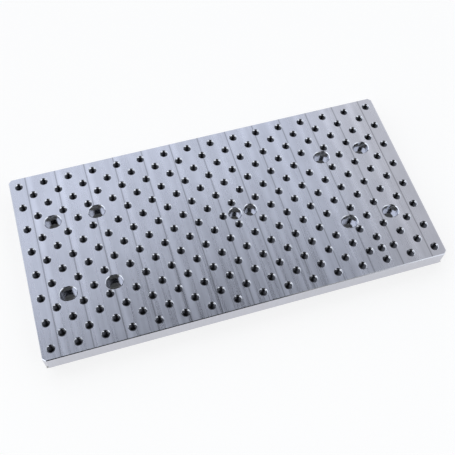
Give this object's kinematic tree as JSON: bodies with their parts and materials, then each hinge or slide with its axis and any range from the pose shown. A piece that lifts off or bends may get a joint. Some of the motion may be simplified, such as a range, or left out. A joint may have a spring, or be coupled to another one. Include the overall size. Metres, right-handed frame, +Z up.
{
  "type": "fixture plate",
  "caption": "Flat milled aluminium fixture plate with a staggered grid of tapped holes and counterbored slots that bolt it to a machine table.",
  "frame": {"origin": "middle of the underside", "axes": "+X along the plate to the right, +Y across it to the rear, +Z up out of the working face"},
  "size_m": [0.5002, 0.2482, 0.0254],
  "materials": {
    "milled_aluminium": "face-milled, with the cutter's overlapping passes across the plate"
  },
  "bodies": {
    "root": {"fixture_plate": "milled_aluminium"}
  },
  "joints": []
}
